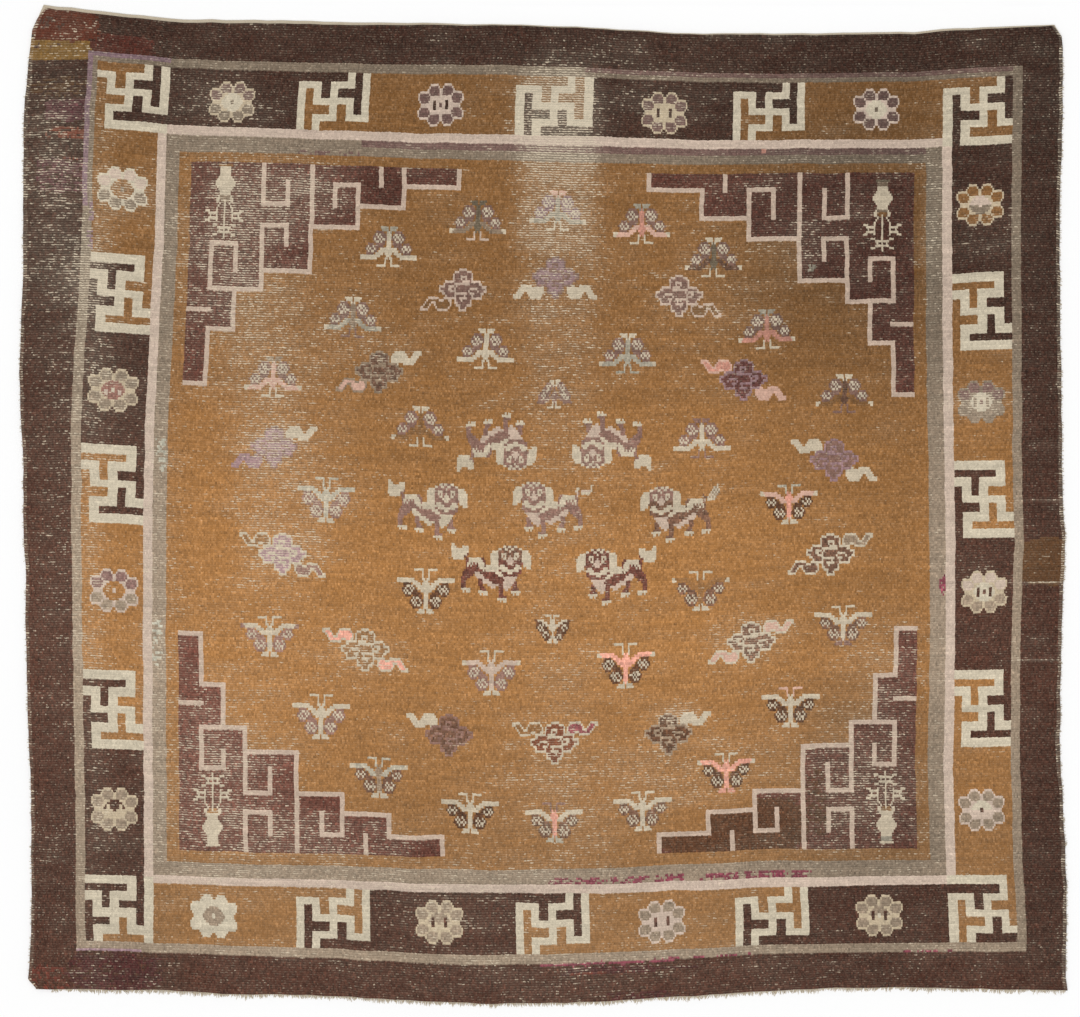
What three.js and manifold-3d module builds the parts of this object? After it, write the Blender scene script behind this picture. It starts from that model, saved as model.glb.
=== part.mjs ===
// A hand-knotted Mongolian wool carpet, nearly square, lying flat on a floor.
// Millimetres, +Z up, +X across the width, +Y towards the end with the woven web.
import * as THREE from 'three';
import { mergeVertices } from 'three/addons/utils/BufferGeometryUtils.js';
import Module from 'manifold-3d';

// Thickness of the carpet and of its bare cotton foundation
const PILE_TOP = 9;
const FOUNDATION = 3;
const PILE_SHOULDER = 6;
const UNDERSIDE_INSET = 2;
const SHOULDER_INSET = 0.8;
const PILE_INSET = 3;

// How finely each side is followed, and how far its edge knots stand in and out
const STEPS_PER_SIDE = 72;
const RAGGED = 1.6;

// Fringe of cut warp ends along the lower end
const FRINGE_GAP = 0.3;
const STRIP_DEPTH = 4;
const STRIP_HEIGHT = 3;
const STRIP_FIRST_STEP = 0;
const STRIP_LAST_STEP = STEPS_PER_SIDE - 1;
const STRAND_COUNT = 262;
const STRAND_ROOT_DEPTH = 2;
const STRAND_SHORTEST = 9;
const STRAND_LONGEST = 19;
const STRAND_LEAN = 3;
const STRAND_LEAN_AT_MIDDLE = 0.3;
const STRAND_SIDES = 4;
const STRAND_ROOT = { width: 3.6, height: 2.6 };
const STRAND_MIDDLE = { width: 3.0, height: 2.2 };
const STRAND_TIP = { width: 1.6, height: 1.2 };

// The four edges as they really lie, each from its own corner to the next, clockwise
const TOP_EDGE = [
  { x: -1401, y: 1410 },
  { x: -1130, y: 1380 },
  { x: -1004, y: 1370 },
  { x: -752, y: 1367 },
  { x: -500, y: 1360 },
  { x: -248, y: 1357 },
  { x: 4, y: 1352 },
  { x: 130, y: 1347 },
  { x: 382, y: 1331 },
  { x: 508, y: 1329 },
  { x: 1012, y: 1333 },
  { x: 1138, y: 1342 },
  { x: 1432, y: 1354 },
];
const RIGHT_EDGE = [
  { x: 1432, y: 1354 },
  { x: 1451, y: 1324 },
  { x: 1456, y: 1282 },
  { x: 1454, y: 1030 },
  { x: 1448, y: 890 },
  { x: 1449, y: 610 },
  { x: 1452, y: 330 },
  { x: 1456, y: 50 },
  { x: 1463, y: -90 },
  { x: 1457, y: -230 },
  { x: 1448, y: -650 },
  { x: 1455, y: -790 },
  { x: 1467, y: -1070 },
  { x: 1466, y: -1210 },
  { x: 1466, y: -1354 },
];
const BOTTOM_EDGE = [
  { x: 1466, y: -1354 },
  { x: 1292, y: -1352 },
  { x: 1124, y: -1347 },
  { x: 788, y: -1348 },
  { x: 452, y: -1367 },
  { x: 116, y: -1387 },
  { x: -52, y: -1390 },
  { x: -220, y: -1389 },
  { x: -556, y: -1372 },
  { x: -724, y: -1365 },
  { x: -892, y: -1364 },
  { x: -1060, y: -1354 },
  { x: -1420, y: -1350 },
];
const LEFT_EDGE = [
  { x: -1420, y: -1350 },
  { x: -1437, y: -1336 },
  { x: -1445, y: -1314 },
  { x: -1438, y: -1207 },
  { x: -1436, y: -1042 },
  { x: -1439, y: -762 },
  { x: -1445, y: -622 },
  { x: -1452, y: -342 },
  { x: -1452, y: -202 },
  { x: -1459, y: -62 },
  { x: -1459, y: 78 },
  { x: -1469, y: 358 },
  { x: -1467, y: 498 },
  { x: -1460, y: 638 },
  { x: -1458, y: 1058 },
  { x: -1448, y: 1198 },
  { x: -1436, y: 1330 },
  { x: -1425, y: 1360 },
  { x: -1401, y: 1410 },
];

// The flat-woven web is narrow in the middle of the upper end: share of the way across, and its width
const WEB_WIDTH = [
  { along: 0, width: 9 },
  { along: 0.25, width: 9 },
  { along: 0.33, width: 7 },
  { along: 0.45, width: 3 },
  { along: 0.65, width: 3 },
  { along: 0.75, width: 5 },
  { along: 0.9, width: 6 },
  { along: 1, width: 3 },
];

// Repeatable unevenness from -1 to 1: the fine digits of a fast wave, a different draw for each use
const WAVE_STEP = 12.9898;
const WAVE_FINE_DIGITS = 43758.5453;
const LENGTH_DRAW = 0.3;
const LEAN_DRAW = 0.6;

function uneven(place) {
  const wave = Math.sin(place * WAVE_STEP) * WAVE_FINE_DIGITS;
  return 2 * (wave - Math.floor(wave)) - 1;
}

function webWidthAt(along) {
  const next = Math.max(1, WEB_WIDTH.findIndex((row) => row.along >= along));
  const [a, b] = [WEB_WIDTH[next - 1], WEB_WIDTH[next]];
  return THREE.MathUtils.mapLinear(along, a.along, b.along, a.width, b.width);
}

// Points along one edge, its last corner left to the next edge
function edgePoints(table) {
  const curve = new THREE.SplineCurve(table.map((row) => new THREE.Vector2(row.x, row.y)));
  return curve.getSpacedPoints(STEPS_PER_SIDE).slice(0, STEPS_PER_SIDE);
}

// Inward direction at each point of a closed clockwise outline
function inwardNormals(points) {
  return points.map((point, i) => {
    const before = points[(i + points.length - 1) % points.length];
    const after = points[(i + 1) % points.length];
    const way = after.clone().sub(before).normalize();
    return new THREE.Vector2(way.y, -way.x);
  });
}

function offset(points, normals, distanceAt) {
  return points.map((point, i) => point.clone().addScaledVector(normals[i], distanceAt(i)));
}

// A closed solid from clockwise rings of equal length, each above or inside the one before it
function solidFromRings(rings) {
  const count = rings[0].points.length;
  const position = [];
  rings.forEach(({ points, heightAt }) => {
    points.forEach((point, i) => position.push(point.x, point.y, heightAt(i)));
  });
  const index = [];
  for (let ring = 0; ring + 1 < rings.length; ring += 1) {
    for (let i = 0; i < count; i += 1) {
      const j = (i + 1) % count;
      const [a, b] = [ring * count + i, ring * count + j];
      const [c, d] = [a + count, b + count];
      index.push(a, c, b, b, c, d);
    }
  }
  const last = (rings.length - 1) * count;
  THREE.ShapeUtils.triangulateShape(rings[0].points, []).forEach((face) => {
    index.push(face[0], face[2], face[1]);
  });
  THREE.ShapeUtils.triangulateShape(rings[rings.length - 1].points, []).forEach((face) => {
    index.push(last + face[0], last + face[1], last + face[2]);
  });
  const geometry = new THREE.BufferGeometry();
  geometry.setAttribute('position', new THREE.Float32BufferAttribute(position, 3));
  geometry.setIndex(index);
  return geometry;
}

// Outline of the carpet, with each edge knot a little in or out of line
const plainOutline = [TOP_EDGE, RIGHT_EDGE, BOTTOM_EDGE, LEFT_EDGE].flatMap(edgePoints);
const plainNormals = inwardNormals(plainOutline);
const outline = offset(plainOutline, plainNormals, (i) => (
  i % STEPS_PER_SIDE === 0 ? 0 : RAGGED * uneven(i)
));
const inward = inwardNormals(outline);
const alongSide = (i) => (i % STEPS_PER_SIDE) / STEPS_PER_SIDE;
const onTopEdge = (i) => i <= STEPS_PER_SIDE;
const webWidth = (i) => webWidthAt(i === STEPS_PER_SIDE ? 1 : alongSide(i));

// Carpet: foundation rim all round, bare web along the upper end, pile inside it
function makeCarpet() {
  const shoulderInset = (i) => (onTopEdge(i) ? webWidth(i) : SHOULDER_INSET);
  const shoulderHeight = (i) => (onTopEdge(i) ? FOUNDATION : PILE_SHOULDER);
  return solidFromRings([
    { points: offset(outline, inward, () => UNDERSIDE_INSET), heightAt: () => 0 },
    { points: outline, heightAt: () => FOUNDATION },
    { points: offset(outline, inward, shoulderInset), heightAt: shoulderHeight },
    { points: offset(outline, inward, (i) => shoulderInset(i) + PILE_INSET), heightAt: () => PILE_TOP },
  ]);
}

// The lower end from right to left, and the outward direction there
const lowerEnd = outline.slice(2 * STEPS_PER_SIDE, 3 * STEPS_PER_SIDE + 1);
const lowerInward = inward.slice(2 * STEPS_PER_SIDE, 3 * STEPS_PER_SIDE + 1);
lowerInward[0].set(0, 1);
lowerInward[STEPS_PER_SIDE].set(0, 1);

function lowerEndAt(place) {
  const step = Math.min(Math.floor(place), STEPS_PER_SIDE - 1);
  const point = lowerEnd[step].clone().lerp(lowerEnd[step + 1], place - step);
  const out = lowerInward[step].clone().lerp(lowerInward[step + 1], place - step);
  return { point, out: out.negate().normalize() };
}

// Narrow strip of foundation just outside the last row of knots
function makeStrip() {
  const inner = [];
  const outer = [];
  for (let step = STRIP_FIRST_STEP; step <= STRIP_LAST_STEP; step += 1) {
    inner.push(lowerEnd[step].clone().addScaledVector(lowerInward[step], -FRINGE_GAP));
    outer.push(lowerEnd[step].clone().addScaledVector(lowerInward[step], -FRINGE_GAP - STRIP_DEPTH));
  }
  const points = [...outer, ...inner.reverse()];
  return solidFromRings([
    { points, heightAt: () => 0 },
    { points, heightAt: () => STRIP_HEIGHT },
  ]);
}

// One four-sided warp end, level on the floor, leaning a little and tapering to its tip
function addStrand(position, index, strand) {
  const share = (strand + 0.5) / STRAND_COUNT;
  const { point, out } = lowerEndAt(THREE.MathUtils.lerp(STRIP_FIRST_STEP, STRIP_LAST_STEP, share));
  const side = new THREE.Vector2(-out.y, out.x);
  const draw = uneven(strand + LENGTH_DRAW);
  const reach = THREE.MathUtils.mapLinear(draw, -1, 1, STRAND_SHORTEST, STRAND_LONGEST);
  const lean = STRAND_LEAN * uneven(strand + LEAN_DRAW);
  const root = FRINGE_GAP + STRIP_DEPTH - STRAND_ROOT_DEPTH;
  const sections = [
    { ...STRAND_ROOT, away: root, shift: 0 },
    { ...STRAND_MIDDLE, away: root + STRAND_ROOT_DEPTH + reach / 2, shift: lean * STRAND_LEAN_AT_MIDDLE },
    { ...STRAND_TIP, away: root + STRAND_ROOT_DEPTH + reach, shift: lean },
  ];
  const base = position.length / 3;
  sections.forEach(({ width, height, away, shift }) => {
    const middle = point.clone().addScaledVector(out, away).addScaledVector(side, shift);
    const left = middle.clone().addScaledVector(side, -width / 2);
    const right = middle.clone().addScaledVector(side, width / 2);
    position.push(left.x, left.y, 0, right.x, right.y, 0);
    position.push(right.x, right.y, height, left.x, left.y, height);
  });
  for (let section = 0; section + 1 < sections.length; section += 1) {
    for (let corner = 0; corner < STRAND_SIDES; corner += 1) {
      const a = base + section * STRAND_SIDES + corner;
      const b = base + section * STRAND_SIDES + (corner + 1) % STRAND_SIDES;
      const [c, d] = [a + STRAND_SIDES, b + STRAND_SIDES];
      index.push(a, b, c, b, d, c);
    }
  }
  const tip = base + STRAND_SIDES * (sections.length - 1);
  index.push(base, base + 2, base + 1, base, base + 3, base + 2);
  index.push(tip, tip + 1, tip + 2, tip, tip + 2, tip + 3);
}

function makeStrands() {
  const position = [];
  const index = [];
  for (let strand = 0; strand < STRAND_COUNT; strand += 1) {
    addStrand(position, index, strand);
  }
  const geometry = new THREE.BufferGeometry();
  geometry.setAttribute('position', new THREE.Float32BufferAttribute(position, 3));
  geometry.setIndex(index);
  return geometry;
}

// Joining the strands' roots to their strip
const wasm = await Module();
wasm.setup();

function toSolid(geometry) {
  const merged = mergeVertices(geometry);
  return new wasm.Manifold(new wasm.Mesh({
    numProp: 3,
    vertProperties: new Float32Array(merged.attributes.position.array),
    triVerts: new Uint32Array(merged.index.array),
  }));
}

function toGeometry(solid) {
  const mesh = solid.getMesh();
  const geometry = new THREE.BufferGeometry();
  geometry.setAttribute('position', new THREE.BufferAttribute(mesh.vertProperties, 3));
  geometry.setIndex(new THREE.BufferAttribute(mesh.triVerts, 1));
  return geometry;
}

const woolPile = new THREE.MeshStandardMaterial({ color: 0x9c6c37, roughness: 0.95, metalness: 0 });
const cottonWarp = new THREE.MeshStandardMaterial({ color: 0xd9cfba, roughness: 0.9, metalness: 0 });

const carpet = new THREE.Mesh(makeCarpet(), woolPile);
carpet.name = 'carpet';
const fringe = new THREE.Mesh(toGeometry(toSolid(makeStrip()).add(toSolid(makeStrands()))), cottonWarp);
fringe.name = 'fringe';

// The middle of the whole outline, fringe and all, lies at the origin
const group = new THREE.Group();
group.add(carpet, fringe);
const middle = new THREE.Box3().setFromObject(group).getCenter(new THREE.Vector3());
group.position.set(-middle.x, -middle.y, 0);

export default group;
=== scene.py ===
import math

import bpy
import numpy as np
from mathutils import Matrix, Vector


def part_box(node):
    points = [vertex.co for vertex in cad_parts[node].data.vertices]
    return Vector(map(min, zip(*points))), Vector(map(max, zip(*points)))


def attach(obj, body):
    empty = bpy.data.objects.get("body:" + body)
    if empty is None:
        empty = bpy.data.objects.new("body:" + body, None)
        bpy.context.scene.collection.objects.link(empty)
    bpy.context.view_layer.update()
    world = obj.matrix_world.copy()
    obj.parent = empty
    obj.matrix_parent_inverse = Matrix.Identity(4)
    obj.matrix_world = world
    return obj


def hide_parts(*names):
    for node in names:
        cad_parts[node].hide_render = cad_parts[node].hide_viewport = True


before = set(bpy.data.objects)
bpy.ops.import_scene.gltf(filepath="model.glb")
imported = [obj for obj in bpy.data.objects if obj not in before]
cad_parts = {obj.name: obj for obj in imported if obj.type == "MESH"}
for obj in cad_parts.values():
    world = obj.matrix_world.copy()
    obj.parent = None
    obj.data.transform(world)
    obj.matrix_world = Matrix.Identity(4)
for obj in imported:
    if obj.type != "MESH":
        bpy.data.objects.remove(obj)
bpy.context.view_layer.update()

# Foundation: the cotton cloth that carries the knots, stretched and beaten on an upright loom.
# Ivory two-ply warp and weft. All of it lies under the pile but for a narrow flat-woven web
# along the upper end, which keeps the last rows of knots from working loose.
MM = 0.001
FOUNDATION_TOP = 3 * MM
FOUNDATION_FOOT = 0.4 * MM
PILE_HEIGHT = 9 * MM
LEVEL_SLACK = 0.2 * MM
WEB_REACH = 1.6 * MM
WEB_CHAMFER_IN, WEB_CHAMFER_DOWN = 0.8 * MM, 0.5 * MM
UPPER_END_FROM, FACING_OUT = 1.25, 0.8
COTTON = "#dacfba"
COTTON_GRIME_AND_SHADE = "#b9aa92"
THREAD_PITCH_MM = 3.4
WAVE_RADIANS = 20
GRIME_MM = 28.5714


def linear(code):
    """Linear RGBA of an sRGB hex colour."""
    parts = [int(code[i:i + 2], 16) / 255 for i in (1, 3, 5)]
    return tuple(p / 12.92 if p <= 0.04045 else ((p + 0.055) / 1.055) ** 2.4 for p in parts) + (1.0,)


def node(tree, kind, inputs=None, **settings):
    """Adds a shader node with its settings, values and links."""
    made = tree.nodes.new("ShaderNode" + kind)
    for name, value in settings.items():
        setattr(made, name, value)
    for name, value in (inputs or {}).items():
        if isinstance(value, bpy.types.NodeSocket):
            tree.links.new(value, made.inputs[name])
        else:
            made.inputs[name].default_value = value
    return made


def new_material(name):
    """A material and its empty node tree."""
    material = bpy.data.materials.new(name)
    material.use_nodes = True
    material.node_tree.nodes.clear()
    return material, material.node_tree


def put(name, points, faces, material):
    """A mesh piece that lies with the carpet."""
    mesh = bpy.data.meshes.new(name)
    mesh.from_pydata(points, [], faces)
    mesh.materials.append(material)
    mesh.shade_smooth()
    piece = bpy.data.objects.new(name, mesh)
    bpy.context.scene.collection.objects.link(piece)
    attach(piece, "root")
    return piece


def ring_at(height):
    """The carpet's rim at one height, anticlockwise from the right, as it lies on the floor."""
    spots = np.array([v.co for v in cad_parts["carpet"].data.vertices])
    spots = np.unique(spots[abs(spots[:, 2] - height) < LEVEL_SLACK][:, :2].round(6), axis=0)
    return spots[np.argsort(np.arctan2(spots[:, 1], spots[:, 0]))]


def sides_of(ring):
    """Left and right edges as x at a height y, upper and lower ends as y at a place x."""
    count = len(ring)
    ways = {"tl": (-1, 1), "tr": (1, 1), "br": (1, -1), "bl": (-1, -1)}
    corner = {key: int(np.argmax(ring @ np.array(way))) for key, way in ways.items()}

    def run(a, b):
        steps = (corner[b] - corner[a]) % count
        return ring[(corner[a] + np.arange(steps + 1)) % count]

    def along(points, axis):
        points = points[np.argsort(points[:, axis])]
        return lambda place: np.interp(place, points[:, axis], points[:, 1 - axis])

    return {"left": along(run("tl", "bl"), 1), "right": along(run("br", "tr"), 1),
            "top": along(run("tr", "tl"), 0), "bottom": along(run("bl", "br"), 0)}


# Plain cotton weave: matte, off-white, each thread a small rounded rib, with painted shade in the gaps.
# Threads really lie about 1.5 mm apart and are drawn coarser so that the weave shows. A wave texture
# of scale 1 turns by 20 radians to the metre, which the scale allows for.
cotton, tree = new_material("woven_cotton")
where = node(tree, "TexCoord")
threads = []
for direction in ("X", "Y"):
    threads.append(node(tree, "TexWave", {
        "Vector": where.outputs["Object"], "Scale": 2 * math.pi / (WAVE_RADIANS * THREAD_PITCH_MM * MM),
        "Distortion": 1.2, "Detail": 2.0, "Detail Scale": 2.0,
    }, wave_type="BANDS", bands_direction=direction))
ribs = node(tree, "Math", {0: threads[0].outputs["Fac"], 1: threads[1].outputs["Fac"]},
            operation="MAXIMUM")
grime = node(tree, "TexNoise", {"Vector": where.outputs["Object"], "Scale": 1 / (GRIME_MM * MM),
                                "Detail": 5.0})
# Colour darker in the gaps between the ribs, a painted shade, and in patches of grime.
lit_and_clean = node(tree, "Math", {0: ribs.outputs[0], 1: grime.outputs["Fac"]}, operation="MULTIPLY")
tint = node(tree, "Mix", {0: lit_and_clean.outputs[0], 6: linear(COTTON_GRIME_AND_SHADE), 7: linear(COTTON)},
            data_type="RGBA")
relief = node(tree, "Bump", {"Height": ribs.outputs[0], "Strength": 0.6, "Distance": 0.8 * MM})
shine = node(tree, "BsdfPrincipled", {
    "Base Color": tint.outputs[2], "Roughness": 0.93, "Specular IOR Level": 0.25,
    "Normal": relief.outputs["Normal"],
})
node(tree, "OutputMaterial", {"Surface": shine.outputs["BSDF"]})

underside = ring_at(0.0)
pile_rim = sides_of(ring_at(PILE_HEIGHT))
rim = sides_of(underside)
ahead, behind = np.roll(underside, -1, 0), np.roll(underside, 1, 0)
outward = np.stack([(ahead - behind)[:, 1], -(ahead - behind)[:, 0]], 1)
outward /= np.linalg.norm(outward, axis=1)[:, None]
on_upper_end = (underside[:, 1] > UPPER_END_FROM) & (abs(outward[:, 1]) > FACING_OUT)
web_edge = underside + outward * (WEB_REACH * on_upper_end)[:, None]
count = len(underside)
levels = [(web_edge, FOUNDATION_FOOT), (web_edge, FOUNDATION_TOP - WEB_CHAMFER_DOWN),
          (web_edge - outward * WEB_CHAMFER_IN, FOUNDATION_TOP)]
points = np.concatenate([np.column_stack([ring, np.full(count, z)]) for ring, z in levels])
around = np.arange(count)
after = (around + 1) % count
walls = []
for first, second in ((around, after), (around + count, after + count)):
    walls += np.column_stack([first, second, second + count, first + count]).tolist()
caps = [around[::-1].tolist(), (around + 2 * count).tolist()]
foundation = put("foundation", points.tolist(), walls + caps, cotton)

# Knotted pile: wool knots tied row by row on pairs of warps and cut to about 6 mm.
# 667 knots to the row and 410 rows, a coarse weave of 6 to the inch across and 4 along, so each
# knot is one small tuft of one dye. The design is worked from charts, mostly one letter to a knot.
COLUMNS, ROWS = 667, 410
# Knots in each band from the edge in: outer border, grey line, main border, pink line, grey line.
LEFT_BANDS = (33, 6, 38, 6, 9)
RIGHT_BANDS = (26, 6, 38, 6, 10)
END_BANDS = (16, 4, 25, 4, 7)
OUTER_LINE, MAIN, PINK_LINE, INNER_LINE, FIELD = 1, 2, 3, 4, 5
DYES = {
    "camel": "#946637", "umber": "#462a20", "aubergine": "#532a2b", "grey": "#8e7c69",
    "pink": "#c6b1a0", "ivory": "#c9bda6", "mauve": "#7d5f58", "lavender": "#93767d",
    "salmon": "#d59684", "rose": "#d2aa98", "madder": "#683120", "ochre": "#8a652e",
    "magenta": "#7c3a47", "mint": "#aaa594", "slate": "#6a6353", "brown": "#62463b",
    "tan": "#7f5a36", "plum": "#5b3136", "russet": "#5c3d24", "straw": "#bfad91",
    "old_rose": "#94665a", "brick": "#7d3f2c", "oxblood": "#5a2b21", "maroon": "#43201f",
}
NAMES = list(DYES)
draw = np.random.default_rng(1871)
chart = np.zeros((ROWS, COLUMNS), np.uint8)


def dye(name):
    return NAMES.index(name)


left_at = np.cumsum((0,) + LEFT_BANDS)
right_at = COLUMNS - np.cumsum((0,) + RIGHT_BANDS)
top_at = np.cumsum((0,) + END_BANDS)
bottom_at = ROWS - top_at
for ring, name in enumerate(["umber", "grey", "umber", "pink", "grey", "camel"]):
    chart[top_at[ring]:bottom_at[ring], left_at[ring]:right_at[ring]] = dye(name)

# Use has pulled the carpet out of square. Where the border's lines really lie, in millimetres: the
# place along the side, then the outer border's inner edge, the pink line's outer edge and the field.
LEFT_LINES = [
    (1283, -1272, -1064, -999), (1143, -1282, -1074, -1011), (989, -1288, -1081, -1018),
    (779, -1291, -1086, -1024), (583, -1301, -1098, -1032), (443, -1312, -1103, -1039),
    (219, -1321, -1114, -1050), (-61, -1321, -1120, -1055), (-369, -1316, -1120, -1056),
    (-957, -1308, -1117, -1053),
]
RIGHT_LINES = [
    (1241, 1343, 1147, 1075), (751, 1338, 1145, 1072), (415, 1341, 1148, 1074),
    (163, 1341, 1150, 1078), (-103, 1346, 1155, 1082), (-383, 1336, 1154, 1084),
    (-621, 1336, 1151, 1078), (-733, 1336, 1148, 1078), (-985, 1343, 1155, 1084),
    (-1167, 1354, 1165, 1092),
]
TOP_LINES = [
    (-1274, 1282, 1094, 1023), (-1002, 1258, 1072, 999), (-764, 1250, 1064, 995),
    (-400, 1243, 1051, 981), (-106, 1242, 1048, 975), (160, 1232, 1041, 968),
    (440, 1219, 1030, 961), (720, 1217, 1032, 965), (1056, 1223, 1034, 967),
    (1341, 1241, 1048, 981),
]
BOTTOM_LINES = [
    (-1302, -1237, -1041, -979), (-1002, -1245, -1052, -990), (-792, -1253, -1058, -997),
    (-400, -1270, -1071, -1006), (-148, -1279, -1077, -1013), (174, -1270, -1078, -1007),
    (440, -1259, -1070, -996), (664, -1246, -1060, -986), (1028, -1242, -1053, -985),
    (1350, -1242, -1052, -982),
]
FIRST_ACROSS, FIRST_UPWARD, ROUNDS = (-1.45, 1.45), (1.35, -1.36), 5
DRIFT_SPREAD = 0.6
WARP_SWAY_MM, WARP_JITTER_MM, WARP_WAVES = 1.6, 0.5, (60, 14)
WEFT_SWAY_MM, WEFT_JITTER_MM, WEFT_WAVES = 2.0, 0.6, (12, 40)


def eased(count, waves):
    """The wave that each of many places lies in, and how far into it, eased at both ends."""
    place = np.linspace(0, waves, count)
    base = np.minimum(place.astype(int), waves - 1)
    share = place - base
    return base, share * share * (3 - 2 * share)


def drift(rows, columns, row_waves, column_waves):
    """Smooth random unevenness over a grid, about -1 to 1."""
    coarse = draw.standard_normal((row_waves + 1, column_waves + 1)) * DRIFT_SPREAD
    base, share = eased(rows, row_waves)
    mid = coarse[base] * (1 - share[:, None]) + coarse[base + 1] * share[:, None]
    base, share = eased(columns, column_waves)
    return mid[:, base] * (1 - share) + mid[:, base + 1] * share


def lay_between(knots, lines, steps):
    """Place of each knot from the places of the lines at the given knots."""
    found = np.empty_like(lines[0])
    for k in range(len(steps) - 1):
        inside = (knots >= steps[k]) & (knots <= steps[k + 1])
        share = ((knots - steps[k]) / (steps[k + 1] - steps[k]))[inside]
        found[inside] = lines[k][inside] * (1 - share) + lines[k + 1][inside] * share
    return found


def lines(table, place):
    """The three lines of one side at places along it."""
    table = np.array(sorted(table)) * MM
    return [np.interp(place, table[:, 0], table[:, k]) for k in (1, 2, 3)]


knot_row, knot_column = np.mgrid[0:ROWS + 1, 0:COLUMNS + 1].astype(float)
across = np.interp(knot_column, [0, COLUMNS], FIRST_ACROSS)
upward = np.interp(knot_row, [0, ROWS], FIRST_UPWARD)
measured = [0, OUTER_LINE, PINK_LINE, FIELD]
column_steps = [*left_at[measured], *right_at[measured[::-1]]]
row_steps = [*top_at[measured], *bottom_at[measured[::-1]]]
for _ in range(ROUNDS):
    column_lines = [pile_rim["left"](upward), *lines(LEFT_LINES, upward),
                    *lines(RIGHT_LINES, upward)[::-1], pile_rim["right"](upward)]
    row_lines = [pile_rim["top"](across), *lines(TOP_LINES, across),
                 *lines(BOTTOM_LINES, across)[::-1], pile_rim["bottom"](across)]
    across = lay_between(knot_column, column_lines, column_steps)
    upward = lay_between(knot_row, row_lines, row_steps)
inside = np.zeros_like(across)
inside[1:-1, 1:-1] = 1
across += inside * WARP_SWAY_MM * MM * drift(ROWS + 1, COLUMNS + 1, *WARP_WAVES)
across += inside * WARP_JITTER_MM * MM * draw.standard_normal(across.shape)
upward += inside * WEFT_SWAY_MM * MM * drift(ROWS + 1, COLUMNS + 1, *WEFT_WAVES)
upward += inside * WEFT_JITTER_MM * MM * draw.standard_normal(across.shape)


def knot_at(x, y):
    """Row and column of the knot nearest to a place in millimetres."""
    gap = (across - x * MM) ** 2 + (upward - y * MM) ** 2
    return np.unravel_index(np.argmin(gap), gap.shape)


def letters(text):
    """A chart as an array of single letters."""
    return np.array([list(line) for line in text.split()])


def stamp(rows, key, row, column):
    """Ties a charted motif with its first knot at a row and column."""
    for letter, name in key.items():
        found_row, found_column = np.nonzero(rows == letter)
        found_row, found_column = found_row + row, found_column + column
        fits = (found_row >= 0) & (found_row < ROWS) & (found_column >= 0) & (found_column < COLUMNS)
        chart[found_row[fits], found_column[fits]] = dye(name)


def stamp_about(rows, key, x, y):
    """Ties a charted motif with its middle at a place in millimetres."""
    row, column = knot_at(x, y)
    stamp(rows, key, row - rows.shape[0] // 2, column - rows.shape[1] // 2)


# Main border: panels of camel and umber wool in turn, parted by ivory key frets.
# The fret is the old good-luck key with hooked arms, its lines about five knots wide and four rows
# high, and it is turned with the side. A fret takes the wools of the two panels that it parts.
KEY_FRET = letters("""
ttttttXrX
XXXtXXXrX
XlXtXrrrX
XlXXXXXrX
XlllXbXrX
XlXXXbXXX
XlXbbbbbb
""")
DARK_FIRST = ["umber", "camel", "umber", "camel"]
CAMEL_FIRST = ["camel", "umber", "camel", "umber"]
TOP_FRETS = [(-686, 1129), (-76, 1129), (532, 1110)]
BOTTOM_FRETS = [(-692, -1153), (-76, -1153), (538, -1153)]
LEFT_FRETS = [(-1184, 712), (-1198, 180), (-1207, -450)]
RIGHT_FRETS = [(1229, 662), (1235, 133), (1235, -453)]
# Where the band starts from above or from the left, its frets, and its panels in order.
END_SIDES = ((top_at[MAIN], TOP_FRETS, DARK_FIRST), (bottom_at[PINK_LINE], BOTTOM_FRETS, CAMEL_FIRST))
LONG_SIDES = ((left_at[MAIN], LEFT_FRETS, CAMEL_FIRST), (right_at[PINK_LINE], RIGHT_FRETS, DARK_FIRST))
FRET_COLUMNS = [5, 5, 5, 6, 5, 6, 5, 5, 5]
FRET_ROWS = [4, 3, 4, 3, 4, 3, 4]
TURNED_COLUMNS = [5, 6, 5, 6, 5, 6, 5]
TURNED_ROWS = [4, 3, 4, 4, 3, 4, 4, 3, 4]


def knots_of(cells, heights, widths):
    """A chart of cells as a chart of knots, with the knots that each row and column of cells takes."""
    return np.repeat(np.repeat(cells, heights, axis=0), widths, axis=1)


def fret_key(first, second):
    """The wools of a fret between two panels."""
    return {"X": "ivory", "t": first, "r": first, "l": second, "b": second}


upright = knots_of(KEY_FRET, FRET_ROWS, FRET_COLUMNS)
turned = knots_of(np.rot90(KEY_FRET, -1), TURNED_ROWS, TURNED_COLUMNS)
for start, frets, panels in END_SIDES:
    starts = [knot_at(*place)[1] for place in frets]
    turns = [left_at[MAIN]] + [s + upright.shape[1] // 2 for s in starts] + [right_at[MAIN]]
    for k, name in enumerate(panels):
        chart[start:start + END_BANDS[MAIN], turns[k]:turns[k + 1]] = dye(name)
    for k, first in enumerate(starts):
        stamp(upright, fret_key(panels[k], panels[k + 1]), start, first)
for start, frets, panels in LONG_SIDES:
    starts = [knot_at(*place)[0] for place in frets]
    turns = [top_at[PINK_LINE]] + [s + turned.shape[0] // 2 for s in starts] + [bottom_at[PINK_LINE]]
    for k, name in enumerate(panels):
        chart[turns[k]:turns[k + 1], start:start + LEFT_BANDS[MAIN]] = dye(name)
    for k, first in enumerate(starts):
        stamp(turned, fret_key(panels[k], panels[k + 1]), first, start)

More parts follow.
